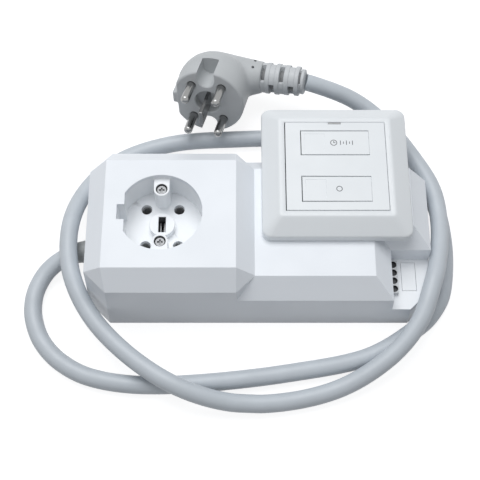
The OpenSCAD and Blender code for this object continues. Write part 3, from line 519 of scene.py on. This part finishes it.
def make_copy(node, name, offset_mm, keep=None, segments=3, drop_mm=0.0, sides=None):
    """A copy of a node with rounded edges, moved sides and a lowered top where they are asked for."""
    bm = move_sides(level_facets(node_bmesh(node)), node, **(sides or {}))
    soften(bm, offset_mm, keep, segments)
    bmesh.ops.translate(bm, vec=(0, 0, -drop_mm * MM), verts=bm.verts)
    ob = weighted(from_bmesh(name, bm))
    for poly in ob.data.polygons:
        poly.use_smooth = poly.area < PLAIN_FACE
    return dress(ob, node)


def middle(e):
    return (e.verts[0].co + e.verts[1].co) / 2


def above(height):
    """A test for the edges above a height."""
    return lambda e: middle(e).z > height * MM


def outer_skin(e):
    """The cover's outside edges, apart from those at its foot."""
    outward = any(f.normal.dot(f.calc_center_median() - COVER_HEART) > 0 for f in e.link_faces)
    return outward and (middle(e) / MM).z > COVER_FOOT


def key_edge(e):
    """The top edges of the plate and the keys, apart from the joined ones."""
    m = middle(e) / MM
    joined = -SLACK < m.x - PANEL_X - KEY_L / 2 < HINGE_GAP + SLACK
    return m.z > DECK_H + PANEL_ABOVE and not joined


def cup_gap_painted_shade(poly):
    """The gap round each screw's head and the walls of the earth slot, which get painted shade."""
    x, y, z = poly.center / MM - Vector((SOCKET_X, SOCKET_Y, 0))
    by_screw = math.hypot(x, abs(y) - LUG_Y) < SINK_R + SLACK and z < LUG_Z - CUP_RIM
    by_slot = abs(x) < SLOT_X and abs(y) < SLOT_Y and z < SLOT_TOP - CUP_RIM
    return by_screw or (by_slot and abs(poly.normal.z) < UPRIGHT)


# Painted light: the notch floor gets the brighter white, for the light that its walls keep from it
def notch_floor_painted_light(poly):
    c = poly.center / MM
    at_floor = c.x > NOTCH_X and c.y < NOTCH_Y and abs(c.z - NOTCH_Z) < FLOOR_SLACK
    return at_floor and poly.normal.z > LOOKS_UP


def well_painted_shade(poly):
    """The walls and floors of the terminal strip's wells, which get painted shade."""
    c = poly.center / MM
    way = round((c.y - WELL_Y0) / WELL_PITCH)
    reach = math.hypot(c.x - WELL_X, c.y - WELL_Y0 - way * WELL_PITCH)
    return reach < WELL_R + SLACK and c.z < WELL_TOP - WELL_RIM


# Painted shade: the blank's upright edge faces, darkened for the shaded gap round it
def blank_side_painted_shade(poly):
    return abs(poly.normal.z) < BLANK_UPRIGHT


# The number is how far each edge is cut back by its rounding
# The notch floor gets painted light
second_finish(make_copy("top_cover", "cover", 0.55, outer_skin), PAINTED_LIGHT_WHITE, notch_floor_painted_light)
# The screw gaps and the earth slot's walls get painted shade
second_finish(make_copy("socket_cup", "cup", 0.22, above(CUP_ABOVE)), PAINTED_SHADE_GREY, cup_gap_painted_shade)
make_copy("socket_screws", "cup_screws", 0.18, above(SCREWS_ABOVE), segments=2)
# The blank's upright edge faces get painted shade
second_finish(make_copy("entry_blank", "blank", 0.2, above(BLANK_ABOVE)), PAINTED_SHADE_GREY, blank_side_painted_shade)
make_copy("centre_plate", "key_plate", 0.2, key_edge, segments=2, drop_mm=KEY_DROP, sides=PLATE_SIDES)
for node in ("timer_key", "off_key"):
    make_copy(node, node + "_flap", 0.22, key_edge, segments=2, drop_mm=KEY_DROP, sides=KEY_SIDES)
make_copy("plug_earth_blade", "blade", 0.3)
# The wells get painted shade
second_finish(make_copy("control_terminals", "terminal_strip", 0.12), DARK, well_painted_shade)


# The plug's head and pins, made in the plug's own frame

HEAD_SIDES, NECK_SIDES, PIN_SIDES = 96, 56, 32
# The neck's growth towards the head, the step where it leaves the relief, and the share that goes sideways
NECK_FLARE, NECK_STEP, NECK_STEP_L, NECK_WIDEN = 0.36, 0.5, 6, 0.2
NECK_STATIONS = (-2, 0, 3, 6, 9, 12, 15, 18, 20, 22, 24, 25.5, NECK_X)
DOME_STEPS = 12
BALL_ANGLES = range(4, 180, 8)
CHANNEL_ANGLES = range(180, 361, 12)
PIN_ANGLES = range(12, 85, 12)
# Height and inset of each ring of the nose and of the key
NOSE_RINGS = ((-NOSE_L - 0.5, 0), (-1, 0), (-0.5, 0.1), (-0.2, 0.3), (0, 0.7))
PLUG_KEY_RINGS = ((PLUG_KEY_Z0, 0), (PLUG_KEY_Z1 - 0.4, 0), (PLUG_KEY_Z1, 0.4))
# Height and widening of a recess at its mouth, and the shallow sink round each pin
MOUTH = ((-0.5, 0), (0.5, 1))
COLLAR_GAP, COLLAR_Z = 0.35, (-0.8, 1)
# The head is melted into one skin, smoothed most where the neck meets it
VOXEL = 0.55
MELT_X0, MELT_X1, MELT_TOP, MELT_TIMES, SMOOTH_TIMES = 7, 25.5, -8, 40, 3
# The flat face: the least share of Z in its normal, its lowest height, and the slack round its recess
FACE_LOOKS_UP, FACE_LOW, FACE_SLACK = 0.8, -1.2, 0.2
BOX_MARGIN = 0.02


def nose_ring(z, inset):
    return [(max(x, inset - NOSE_FLAT), y, z) for x, y, z in disc(0, 0, z, NOSE_R - inset, HEAD_SIDES)]


def neck_point(x, a):
    """The neck is wider on the face's side, where it runs out into the nose."""
    back = NECK_R + (NECK_TIP_R - NECK_R) * max(x, 0) / NECK_X
    flare = (NECK_X - x) * NECK_FLARE + NECK_STEP * min(1.0, (NECK_X - x) / NECK_STEP_L)
    half, deep, wide = back + flare / 2, NECK_DEPTH - flare / 2, back + NECK_WIDEN * flare
    return (x, wide * math.cos(a), -deep + half * math.sin(a))


def key_ring(z, inset):
    x0, x1, half = PLUG_KEY_X0 + inset, PLUG_KEY_X1, PLUG_KEY_HALF - inset
    return [(x0, -half, z), (x1, -half, z), (x1, half, z), (x0, half, z)]


def channel_ring(side, z, wider):
    r = CHANNEL_R + wider
    arc = [(r * math.cos(a), side * (LUG_Y + r * math.sin(a)), z) for a in map(math.radians, CHANNEL_ANGLES)]
    return [(-r, side * (LUG_Y + NOSE_R), z), *arc, (r, side * (LUG_Y + NOSE_R), z)]


def head_form():
    """Nose, dome, neck, the round bend between them, and the key, still as separate closed forms."""
    nose = [nose_ring(z, inset) for z, inset in NOSE_RINGS]
    dome = [disc(0, 0, z, NOSE_R, HEAD_SIDES) for z in (-NOSE_L, -NOSE_L - HEAD_L)]
    for i in range(1, DOME_STEPS + 1):
        a = math.radians(90 * i / DOME_STEPS)
        dome.append(disc(0, 0, -NOSE_L - HEAD_L - (PLUG_BACK - HEAD_L) * math.sin(a),
                         NOSE_R * (DOME_FLAT + (1 - DOME_FLAT) * math.cos(a)), HEAD_SIDES))
    neck = [[neck_point(x, a) for a in angles(NECK_SIDES)] for x in NECK_STATIONS]
    ball = [disc(0, 0, -NECK_DEPTH + NECK_R * math.cos(b), NECK_R * math.sin(b))
            for b in map(math.radians, BALL_ANGLES)]
    key = [key_ring(z, inset) for z, inset in PLUG_KEY_RINGS]
    return solid_from("plug_head", nose, dome, neck, ball, key)


def head_cuts():
    """The face's recess, the two channels for the socket's lugs, and the sinks round the pins."""
    recess = [disc(0, 0, z, FACE_RECESS_R + w) for z, w in ((-FACE_RECESS_H, 0), *MOUTH)]
    channels = [[channel_ring(s, z, w) for z, w in ((-CHANNEL_DEPTH, 0), *MOUTH)] for s in (-1, 1)]
    collars = [[disc(x, y, z, PIN_R + COLLAR_GAP) for z in COLLAR_Z] for x, y in PINS_AT]
    return solid_from("plug_cuts", recess, *channels, *collars)


def smooth_mesh(ob, times, wanted=None):
    bm = bmesh.new()
    bm.from_mesh(ob.data)
    verts = [v for v in bm.verts if wanted is None or wanted(v.co / MM)]
    for _ in range(times):
        bmesh.ops.smooth_vert(bm, verts=verts, factor=0.5, use_axis_x=True, use_axis_y=True, use_axis_z=True)
    bm.to_mesh(ob.data)
    bm.free()


def where_neck_meets_head(p):
    return MELT_X0 < p.x < MELT_X1 and p.z < MELT_TOP


def on_plug_face(poly):
    """The flat face and the inside of its recess."""
    c = poly.center / MM
    flat = poly.normal.z > FACE_LOOKS_UP and c.z > FACE_LOW
    in_recess = math.hypot(c.x, c.y) < FACE_RECESS_R + FACE_SLACK and c.z > -FACE_RECESS_H - FACE_SLACK
    return flat or in_recess


def make_plug_head():
    ob = head_form()
    melt = ob.modifiers.new("one_skin", "REMESH")
    melt.mode = "VOXEL"
    melt.voxel_size = VOXEL * MM
    bake(ob)
    smooth_mesh(ob, MELT_TIMES, where_neck_meets_head)
    smooth_mesh(ob, SMOOTH_TIMES)
    cuts = head_cuts()
    cut = ob.modifiers.new("recesses", "BOOLEAN")
    cut.operation = "DIFFERENCE"
    cut.solver = "EXACT"
    cut.object = cuts
    bake(ob)
    spare = cuts.data
    bpy.data.objects.remove(cuts)
    bpy.data.meshes.remove(spare)
    shade(dress(ob, "plug_body"))
    second_finish(ob, PLUG_FACE, on_plug_face)
    ob.data.transform(PLUG_M)
    # The back of the plug stays inside the CAD box
    for v in ob.data.vertices:
        v.co.y = min(v.co.y, cad_high[1] - BOX_MARGIN * MM)


def make_pins():
    """Four round pins with domed tips."""
    half = [(PIN_R, -PIN_ROOT), (PIN_R, PIN_OUT - PIN_TIP)]
    for a in map(math.radians, PIN_ANGLES):
        half.append((PIN_R * math.cos(a), PIN_OUT - PIN_TIP + PIN_TIP * math.sin(a)))
    ob = solid_from("pins", *[[disc(x, y, z, r, PIN_SIDES) for r, z in half] for x, y in PINS_AT])
    ob.data.transform(PLUG_M)
    dress(ob, "plug_pins")


# The plug's strain relief: fat rings on a sleeve, with windows between them

RELIEF_SIDES = 120
# Start, end and radius of each ring
RELIEF_RINGS = ((2.5, 5.2, 9.2), (8.2, 11.0, 9.2), (13.7, 16.7, 8.9), (19.9, 22.6, 8.7), (23.6, 25.5, 7.4))
# In from a ring's end, and down from its radius
RING_EDGE = ((0.02, 0.4), (0.15, 0.12), (0.45, 0))
# Place and radius of the seat in the neck and of the first bridge, and of the far end from the tip
RELIEF_SEAT, RELIEF_START, RELIEF_END = (-0.6, 8.6), (-0.05, 9.1), ((0.3, 6.3), (0, 5.6))
# How far the bridges between the rings lie below the lower ring
BRIDGE_DROP = 0.25
# The sleeve's radius, the half width of the windows in even and odd gaps, and where the first one looks
RELIEF_FLOOR, RELIEF_WINDOW, RELIEF_TURN = 6.2, (36, 43), 31
WINDOW_SLACK = 0.1


def relief_ring(x, radius, gap=None):
    """Round outline; in a gap, two windows reach down to the inner sleeve."""
    ring = []
    for k in range(RELIEF_SIDES):
        t = 360 * k / RELIEF_SIDES
        r = radius
        if gap is not None:
            off = abs((t - RELIEF_TURN - 90 * (gap % 2) + 90) % 180 - 90)
            r = RELIEF_FLOOR if off < RELIEF_WINDOW[gap % 2] else radius
        a = math.radians(t)
        ring.append((NECK_X + x, r * math.cos(a), -NECK_DEPTH + r * math.sin(a)))
    return ring


# Painted shade: the window floors on the sleeve, darkened for the bridges' shadow
def window_painted_shade(poly):
    c = poly.center / MM
    before_end = c.x < NECK_X + RELIEF_RINGS[-1][1]
    return before_end and math.hypot(c.y, c.z + NECK_DEPTH) < RELIEF_FLOOR + WINDOW_SLACK


def make_relief():
    rings = [relief_ring(*RELIEF_SEAT)]
    x, near = RELIEF_START
    for i, (x0, x1, r) in enumerate(RELIEF_RINGS):
        bridge = min(near, r) - BRIDGE_DROP
        rings += [relief_ring(x, bridge, i), relief_ring(x0, bridge, i)]
        rings += [relief_ring(x0 + inset, r - drop) for inset, drop in RING_EDGE]
        rings += [relief_ring(x1 - inset, r - drop) for inset, drop in RING_EDGE[::-1]]
        x, near = x1, r
    rings += [relief_ring(RELIEF_L - inset, r) for inset, r in RELIEF_END]
    ob = dress(solid_from("relief", rings), "plug_strain_relief")
    # The window floors get painted shade
    second_finish(ob, PAINTED_SHADE_GREY, window_painted_shade)
    ob.data.transform(PLUG_M)


# Small trim: the dark dots on the plug's neck, painted shade for its vents, and the gland's tapered nose

# Place along the neck and angle round it of each vent, and the radius and height of its rings
VENTS_AT = ((22.0, 340), (22.0, 15))
VENT_RINGS = ((0.75, -0.6), (0.75, 0.25), (0.5, 0.42), (0.15, 0.46))
VENT_SIDES = 16
# The points of the lead that the nose covers, its radius at the collar and at the tip, and how far it
# starts inside the collar
GLAND_POINTS, GLAND_R, GLAND_TIP_R, GLAND_SEAT = 6, 6.2, 5.35, 0.3
GLAND_SIDES = 40


def make_painted_vent_shade():
    parts = []
    for x, angle in VENTS_AT:
        a = math.radians(angle)
        at = Vector(neck_point(x, a))
        out = Vector((0, math.cos(a), math.sin(a)))
        side = out.cross(X_AXIS)
        parts.append([ring_about(at + out * h, X_AXIS, side, r, VENT_SIDES) for r, h in VENT_RINGS])
    ob = solid_from("vent_dots_painted_shade", *parts)
    ob.data.transform(PLUG_M)
    # Painted shade: dark bumps stand where the vent holes would be shaded
    join_piece(ob, "plug_body", DARK)


def make_gland_nose():
    """It starts square on the collar and follows the first stretch of the lead."""
    line = [lead_line[0] + Vector((GLAND_SEAT * MM, 0, 0)), *lead_line[1:GLAND_POINTS]]
    rings = []
    for i, p in enumerate(line):
        ahead = (lead_line[i + 1] - lead_line[i - 1]).normalized() if i else Vector((-1, 0, 0))
        side = ahead.cross(Z_AXIS).normalized()
        up = side.cross(ahead)
        r = GLAND_R + (GLAND_TIP_R - GLAND_R) * i / (len(line) - 1)
        rings.append(ring_about(p / MM, side, up, r, GLAND_SIDES))
    join_piece(solid_from("gland_nose", rings), "cord_gland", GLAND_GREY)


make_plug_head()
make_gland_nose()
make_pins()
make_relief()
make_painted_vent_shade()


# The panel's frame, lofted through rounded squares

CORNER_STEPS = 10
# Added to the frame's width and corner radius, and the height, at its foot
FRAME_FOOT = ((-4.4, -2.2, 0.0), (-0.5, -0.25, 0.0), (-0.15, 0, 0.15), (0, 0, 0.5))
# The round shoulder above the upright edge: its radius, its turn, and its start below the edge's top
SHOULDER_R, SHOULDER_TURN, SHOULDER_START, SHOULDER_STEPS = 1.8, 57, 1.9, 6
# Added to the width, the corner radius, and added to the top's height, at the rim and at the opening
RIM_RINGS = ((2.6, 2.6, -0.62), (1.4, 2.2, -0.24), (0.4, 1.9, -0.05), (-0.6, 1.6, 0))
OPENING_RINGS = ((0.5, 0.5, 0), (0.14, 0.3, -0.09), (0, 0.2, -0.3), (0, 0.2, -3.2))
FRAME_TOP_GAP, FRAME_T, FRAME_SHARP = 0.01, 0.9, 50


def rounded_ring(width, radius, z):
    ring = []
    for q, (sx, sy) in enumerate(((1, 1), (-1, 1), (-1, -1), (1, -1))):
        for i in range(CORNER_STEPS + 1):
            a = math.radians(90 * q + 90 * i / CORNER_STEPS)
            ring.append((PANEL_X + sx * (width / 2 - radius) + radius * math.cos(a),
                         PANEL_Y + sy * (width / 2 - radius) + radius * math.sin(a), DECK_H + z))
    return ring


def make_frame():
    opening = PLATE_W + 2 * PLATE_GAP
    rim = opening + 2 * RIM_W
    top = FRAME_H - FRAME_TOP_GAP
    profile = [(FRAME_W + w, FRAME_R + r, z) for w, r, z in FRAME_FOOT]
    for i in range(SHOULDER_STEPS + 1):
        a = math.radians(SHOULDER_TURN * i / SHOULDER_STEPS)
        profile.append((FRAME_W - 2 * SHOULDER_R * (1 - math.cos(a)), FRAME_R,
                        FRAME_EDGE - SHOULDER_START + SHOULDER_R * math.sin(a)))
    profile += [(rim + w, r, top + z) for w, r, z in RIM_RINGS]
    profile += [(opening + w, r, top + z) for w, r, z in OPENING_RINGS]
    skin = loft(bmesh.new(), [rounded_ring(*p) for p in profile], capped=False)
    ob = from_bmesh("frame_skin", skin, FRAME_SHARP)
    solid = ob.modifiers.new("thickness", "SOLIDIFY")
    solid.thickness = FRAME_T * MM
    solid.offset = -1
    dress(ob, "panel_frame")


make_frame()


# The film that joins each key to the plate along its right edge

FILM_INSET, FILM_T, FILM_DROP, FILM_GROOVE = 0.04, 0.5, 0.04, 0.08


def make_film(name, y):
    x0 = PANEL_X + KEY_L / 2 + FILM_INSET
    x1 = PANEL_X + KEY_L / 2 + HINGE_GAP - FILM_INSET
    top = DECK_H + FRAME_H - KEY_DROP - FILM_DROP
    low = top - FILM_T
    section = [(x0, low), (x1, low), (x1, top), ((x0 + x1) / 2, top - FILM_GROOVE), (x0, top)]
    rings = [[(x, y + end, z) for x, z in section] for end in (-KEY_W / 2, KEY_W / 2)]
    join_piece(solid_from(name, rings), "centre_plate", PANEL_WHITE)


make_film("timer_film", TIMER_Y)
make_film("off_film", OFF_Y)


# Marks on the keys: a clock and a scale on the upper one, a ring on the lower one

MARK_LIFT, MARK_LINE, MARK_SIDES = 0.015, 0.4, 40
MARK_Z = DECK_H + FRAME_H - KEY_DROP + MARK_LIFT
CLOCK_X, CLOCK_R = PANEL_X - 0.8, 1.9
# How far each hand of the clock starts behind its middle, and how far it reaches
HAND_BACK, HAND_UP = 0.15, 1.15
SIDE_HAND_BACK, SIDE_HAND_OUT = 0.12, 0.95
# The scale's first stroke, their pitch, and half the height of each
SCALE_X, SCALE_PITCH, SCALE_STROKES = PANEL_X + 2.9, 1.65, (1.35, 0.7, 1.35, 0.7, 1.35)
RING_X, RING_R = PANEL_X + 1.2, 1.7


def flat_bmesh(outlines, z):
    """Flat faces from outlines, each with an inner outline or None."""
    bm = bmesh.new()
    for outer, inner in outlines:
        a = [bm.verts.new((x * MM, y * MM, z * MM)) for x, y in outer]
        if inner:
            band(bm, a, [bm.verts.new((x * MM, y * MM, z * MM)) for x, y in inner])
        else:
            bm.faces.new(a)
    return bm


def circle(x, y, r):
    return [p[:2] for p in disc(x, y, MARK_Z, r, MARK_SIDES)]


def ring_mark(x, y, r):
    return circle(x, y, r), circle(x, y, r - MARK_LINE)


def bar_mark(x0, y0, x1, y1):
    d = Vector((x1 - x0, y1 - y0)).normalized()
    n = Vector((-d.y, d.x)) * MARK_LINE / 2
    return [(x0 - n.x, y0 - n.y), (x1 - n.x, y1 - n.y), (x1 + n.x, y1 + n.y), (x0 + n.x, y0 + n.y)], None


def make_mark(name, node, outlines):
    join_piece(from_bmesh(name, flat_bmesh(outlines, MARK_Z)), node, INK)


make_mark("timer_mark", "timer_key", [
    ring_mark(CLOCK_X, TIMER_Y, CLOCK_R),
    bar_mark(CLOCK_X, TIMER_Y - HAND_BACK, CLOCK_X, TIMER_Y + HAND_UP),
    bar_mark(CLOCK_X - SIDE_HAND_BACK, TIMER_Y, CLOCK_X + SIDE_HAND_OUT, TIMER_Y),
    *[bar_mark(SCALE_X + SCALE_PITCH * i, TIMER_Y - h, SCALE_X + SCALE_PITCH * i, TIMER_Y + h)
      for i, h in enumerate(SCALE_STROKES)],
])
make_mark("off_mark", "off_key", [ring_mark(RING_X, OFF_Y, RING_R)])


# Floor and light, in metres and watts

FLOOR_Z, FLOOR_HALF = -0.05 * MM, 3.0
FLOOR_COLOR, FLOOR_GLOW = (0.32, 0.325, 0.335, 1), 0.86
SKY_COLOR, SKY_STRENGTH = (0.95, 0.97, 1.0, 1), 0.40
BACKDROP_WHITE = (1, 1, 1, 1)
LAMP_AT, LAMP_AIM = Vector((-0.2, 0.46, 1.36)), Vector((0, 0, 0.02))
LAMP_SIZE, LAMP_POWER, LAMP_COLOR = 1.2, 13.15, (0.985, 0.99, 1.0)


def seen_rays(nodes, links):
    """1 for the camera's rays and for reflected and refracted ones, and 0 for the rest."""
    path = nodes.new("ShaderNodeLightPath")
    seen = path.outputs["Is Camera Ray"]
    for kind in ("Is Glossy Ray", "Is Transmission Ray"):
        either = nodes.new("ShaderNodeMath")
        either.operation = "MAXIMUM"
        links.new(seen, either.inputs[0])
        links.new(path.outputs[kind], either.inputs[1])
        seen = either.outputs["Value"]
    return seen


def show_when_seen(nodes, links, lights, shows, output):
    """One shader lights the object, and the other shows behind it."""
    mix = nodes.new("ShaderNodeMixShader")
    links.new(seen_rays(nodes, links), mix.inputs["Fac"])
    links.new(lights, mix.inputs[1])
    links.new(shows, mix.inputs[2])
    links.new(mix.outputs["Shader"], nodes[output].inputs["Surface"])


def make_floor():
    mesh = bpy.data.meshes.new("floor")
    corners = [(x * FLOOR_HALF, y * FLOOR_HALF, FLOOR_Z) for x, y in ((-1, -1), (1, -1), (1, 1), (-1, 1))]
    mesh.from_pydata(corners, [], [(0, 1, 2, 3)])
    ob = add("floor", mesh)
    mat = bpy.data.materials.new("floor")
    mat.use_nodes = True
    nodes, links = mat.node_tree.nodes, mat.node_tree.links
    nodes.remove(nodes["Principled BSDF"])
    dull = nodes.new("ShaderNodeBsdfDiffuse")
    dull.inputs["Color"].default_value = FLOOR_COLOR
    glow = nodes.new("ShaderNodeEmission")
    glow.inputs["Color"].default_value = BACKDROP_WHITE
    glow.inputs["Strength"].default_value = FLOOR_GLOW
    shown = nodes.new("ShaderNodeAddShader")
    links.new(dull.outputs["BSDF"], shown.inputs[0])
    links.new(glow.outputs["Emission"], shown.inputs[1])
    show_when_seen(nodes, links, dull.outputs["BSDF"], shown.outputs["Shader"], "Material Output")
    mesh.materials.append(mat)


def make_world():
    world = bpy.data.worlds.new("studio")
    scene.world = world
    world.use_nodes = True
    nodes, links = world.node_tree.nodes, world.node_tree.links
    plain = nodes["Background"]
    plain.inputs["Color"].default_value = SKY_COLOR
    plain.inputs["Strength"].default_value = SKY_STRENGTH
    white = nodes.new("ShaderNodeBackground")
    white.inputs["Color"].default_value = BACKDROP_WHITE
    white.inputs["Strength"].default_value = 1.0
    show_when_seen(nodes, links, plain.outputs["Background"], white.outputs["Background"], "World Output")


def make_lamp():
    data = bpy.data.lights.new("overhead", "AREA")
    data.shape = "DISK"
    data.size = LAMP_SIZE
    data.energy = LAMP_POWER
    data.color = LAMP_COLOR
    ob = add("overhead", data)
    ob.location = LAMP_AT
    ob.rotation_euler = (LAMP_AIM - LAMP_AT).to_track_quat("-Z", "Y").to_euler()


make_floor()
make_world()
make_lamp()

scene.view_settings.view_transform = "Standard"
